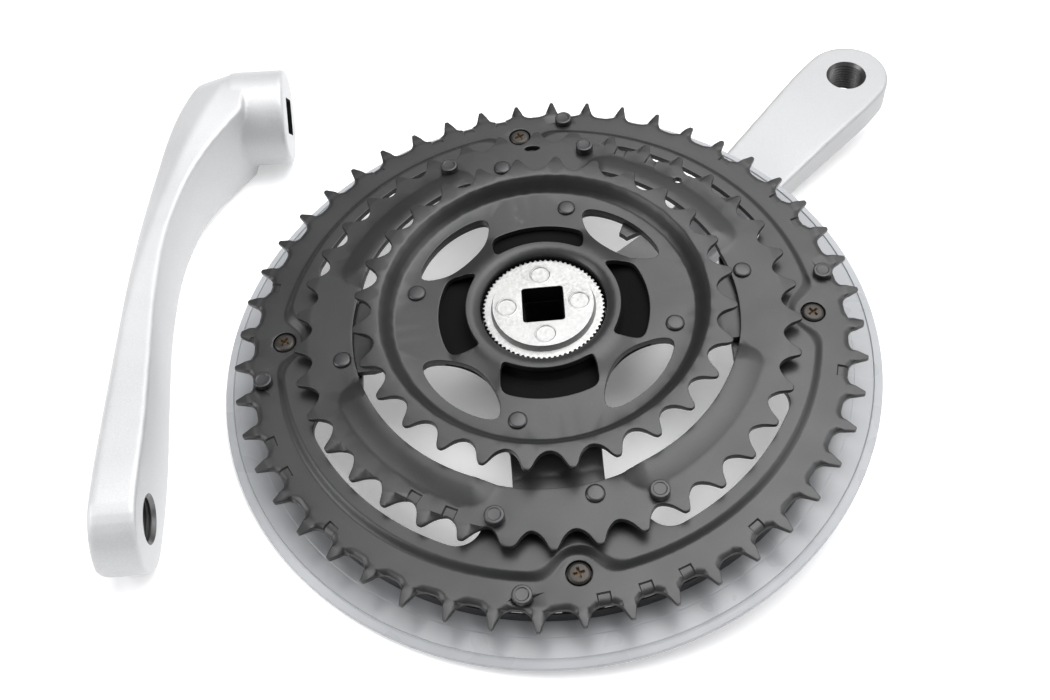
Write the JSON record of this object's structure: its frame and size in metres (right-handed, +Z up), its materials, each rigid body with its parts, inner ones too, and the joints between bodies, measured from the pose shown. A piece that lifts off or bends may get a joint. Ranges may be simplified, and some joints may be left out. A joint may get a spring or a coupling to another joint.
{
  "type": "bicycle crankset",
  "caption": "Crank arm with a riveted black triple chainring set and a smoked plastic chain guard, laid beside its loose opposite crank arm; both have square tapered sockets.",
  "frame": {"origin": "centre of the mouth of the drive side square socket, on the inboard face of the hub", "axes": "+Z is up, square to the surface that both pieces lie on; +X to the right and +Y away from the viewer; the drive side leans 6.7 degrees on its rim and crank arm"},
  "size_m": [0.2828, 0.2445, 0.0489],
  "materials": {
    "black_electrocoat": "satin black electrocoat on pressed steel",
    "silver_paint": "satin silver paint on forged aluminium",
    "smoke_plastic": "translucent smoke grey",
    "blackened_steel": "blackened, satin",
    "bronzed_screw": "dark bronze plating"
  },
  "bodies": {
    "drive_side": {"chainring_large": "black_electrocoat", "chainring_middle": "black_electrocoat", "chainring_small": "black_electrocoat", "spider": "black_electrocoat", "chain_guard": "smoke_plastic", "small_ring_rivet_1": "black_electrocoat", "small_ring_rivet_2": "black_electrocoat", "small_ring_rivet_3": "black_electrocoat", "small_ring_rivet_4": "black_electrocoat", "middle_ring_rivet_1": "black_electrocoat", "middle_ring_rivet_2": "black_electrocoat", "middle_ring_rivet_3": "black_electrocoat", "middle_ring_rivet_4": "black_electrocoat", "large_ring_shift_pin_1": "blackened_steel", "large_ring_shift_pin_2": "blackened_steel", "large_ring_shift_pin_3": "blackened_steel", "large_ring_shift_pin_4": "blackened_steel", "middle_ring_shift_pin_1": "blackened_steel", "middle_ring_shift_pin_2": "blackened_steel", "middle_ring_shift_pin_3": "blackened_steel", "middle_ring_shift_pin_4": "blackened_steel", "guard_screw_1": "bronzed_screw", "guard_screw_2": "bronzed_screw", "guard_screw_3": "bronzed_screw", "guard_screw_4": "bronzed_screw", "right_crank_arm": "silver_paint"},
    "left_arm": {"left_crank_arm": "silver_paint"}
  },
  "joints": [
    {"name": "left_arm_lift", "type": "slide", "parent": "drive_side", "child": "left_arm", "axis": [0, 0, 1], "range_m": [0, 0.15]}
  ]
}
